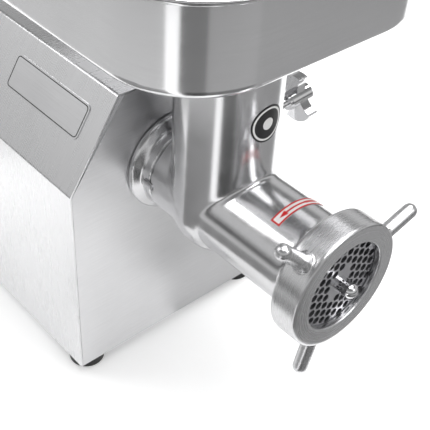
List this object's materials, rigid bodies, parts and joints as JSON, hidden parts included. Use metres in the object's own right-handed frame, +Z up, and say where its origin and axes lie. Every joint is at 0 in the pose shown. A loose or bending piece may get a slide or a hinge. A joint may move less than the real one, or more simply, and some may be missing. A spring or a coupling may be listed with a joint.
{
  "type": "electric meat grinder",
  "caption": "Table-top electric meat grinder: deep feed tray on a round neck, horizontal barrel with lugged ring nut and drilled plate, side clamp knob, and a geared motor in a steel casing.",
  "frame": {"origin": "bottom centre of the whole machine's box, at the undersides of the rubber feet", "axes": "+Z up, out of the feed throat; +Y from the outlet towards the casing's back, out of the cable gland; +X towards the clamp knob's side"},
  "size_m": [0.2817, 0.477, 0.431],
  "materials": {
    "casing_steel": "fine satin, polished on the flat faces",
    "panel_steel": "mirror-like satin",
    "base_steel": "dull zinc",
    "tray_steel": "polished",
    "head_steel": "polished casting with a fine brushed grain",
    "ring_steel": "brushed casting",
    "plate_steel": "ground flat",
    "knife_steel": "ground cutting edges",
    "auger_steel": "cast, bright stud",
    "bright_steel": "bright polished",
    "fastener_steel": "zinc plated",
    "nameplate_metal": "fine brushed, blank",
    "gear_steel": "hobbed and oiled",
    "bearing_steel": "ground",
    "gearbox_metal": "as cast",
    "stand_paint": "satin black",
    "motor_paint": "semi-matt grey",
    "lamination_steel": "stacked sheet",
    "winding_copper": "varnished copper wire",
    "black_rubber": "matt",
    "seal_rubber": "matt",
    "gasket_sheet": "fibre sheet",
    "washer_plastic": "slippery white",
    "black_plastic": "fine grain",
    "capacitor_shell": "smooth",
    "start_green": "gloss",
    "stop_red": "gloss"
  },
  "bodies": {
    "frame": {"base_plate": "base_steel", "rubber_feet": "black_rubber", "foot_screws": "fastener_steel", "foot_nuts": "fastener_steel", "housing_shell": "casing_steel", "front_panel": "panel_steel", "rear_panel": "casing_steel", "rear_screws": "fastener_steel", "nameplate": "nameplate_metal", "head_socket": "head_steel", "socket_pin": "bright_steel", "gearbox_case": "gearbox_metal", "cover_gasket": "gasket_sheet", "gearbox_cover": "gearbox_metal", "cover_screws": "fastener_steel", "gearbox_stand": "stand_paint", "output_bearings": "bearing_steel", "layshaft_bearings": "bearing_steel", "motor_bearings": "bearing_steel", "shaft_seal": "seal_rubber", "motor_shell": "motor_paint", "stator_core": "lamination_steel", "stator_windings": "winding_copper", "motor_end_shield": "gearbox_metal", "fan_cowl": "motor_paint", "motor_cradle": "stand_paint", "run_capacitor": "capacitor_shell", "capacitor_clip": "fastener_steel", "switch_bezel": "black_plastic", "switch_block": "black_plastic", "cable_gland": "black_plastic", "gland_nut": "black_plastic"},
    "rotor": {"motor_shaft": "gear_steel", "rotor_core": "lamination_steel", "motor_pinion": "gear_steel", "cooling_fan": "black_plastic"},
    "layshaft": {"layshaft": "gear_steel", "layshaft_gear": "gear_steel", "layshaft_pinion": "gear_steel"},
    "output": {"output_shaft": "gear_steel", "output_gear": "gear_steel"},
    "head": {"head_casting": "head_steel", "plate_pin": "bright_steel", "thrust_washer": "washer_plastic"},
    "auger": {"auger": "auger_steel", "auger_stud": "bright_steel", "cross_knife": "knife_steel"},
    "plate": {"hole_plate": "plate_steel"},
    "ring": {"ring_nut": "ring_steel", "ring_lugs": "ring_steel"},
    "tray": {"feed_tray": "tray_steel", "tray_spigot": "tray_steel"},
    "pad": {"clamp_pad": "bright_steel"},
    "clamp": {"clamp_screw": "bright_steel", "clamp_knob": "bright_steel"},
    "start": {"start_button": "start_green"},
    "stop": {"stop_button": "stop_red"}
  },
  "joints": [
    {"name": "rotor_spin", "type": "hinge", "parent": "frame", "child": "rotor", "pos_m": [-0.00938, 0.0715, 0.11969], "axis": [0, 1, 0], "continuous": true},
    {"name": "layshaft_spin", "type": "hinge", "parent": "frame", "child": "layshaft", "pos_m": [0.03562, 0.0215, 0.15302], "axis": [0, 1, 0], "continuous": true},
    {"name": "output_spin", "type": "hinge", "parent": "frame", "child": "output", "pos_m": [-0.00938, 0.0215, 0.205], "axis": [0, 1, 0], "continuous": true},
    {"name": "head_pull", "type": "slide", "parent": "frame", "child": "head", "axis": [0, -1, 0], "range_m": [0, 0.06]},
    {"name": "auger_spin", "type": "hinge", "parent": "head", "child": "auger", "pos_m": [-0.00938, -0.1285, 0.205], "axis": [0, 1, 0], "continuous": true},
    {"name": "plate_travel", "type": "slide", "parent": "head", "child": "plate", "axis": [0, -1, 0], "range_m": [0, 0.01]},
    {"name": "ring_nut_turn", "type": "hinge", "parent": "plate", "child": "ring", "pos_m": [-0.00938, -0.2165, 0.205], "axis": [0, -1, 0], "range_deg": [0, 900]},
    {"name": "tray_lift", "type": "slide", "parent": "head", "child": "tray", "axis": [0, 0, 1], "range_m": [0, 0.1]},
    {"name": "pad_travel", "type": "slide", "parent": "frame", "child": "pad", "axis": [0.9962, 0, 0.0872], "range_m": [0, 0.003]},
    {"name": "clamp_turn", "type": "hinge", "parent": "pad", "child": "clamp", "pos_m": [-0.00938, -0.04085, 0.205], "axis": [0.9962, 0, 0.0872], "range_deg": [0, 720]},
    {"name": "start_press", "type": "slide", "parent": "frame", "child": "start", "axis": [-1, 0, 0], "range_m": [0, 0.003], "stiffness_N_per_m": 400, "springref_m": -0.002},
    {"name": "stop_press", "type": "slide", "parent": "frame", "child": "stop", "axis": [-1, 0, 0], "range_m": [0, 0.003], "stiffness_N_per_m": 400, "springref_m": -0.002}
  ],
  "couplings": [
    {"joint": "layshaft_spin", "follows": "rotor_spin", "ratio": -0.33333},
    {"joint": "output_spin", "follows": "rotor_spin", "ratio": 0.125},
    {"joint": "auger_spin", "follows": "rotor_spin", "ratio": 0.125},
    {"joint": "plate_travel", "follows": "ring_nut_turn", "m_per_rad": 0.0006366},
    {"joint": "clamp_turn", "follows": "pad_travel", "rad_per_m": 4188.7}
  ]
}
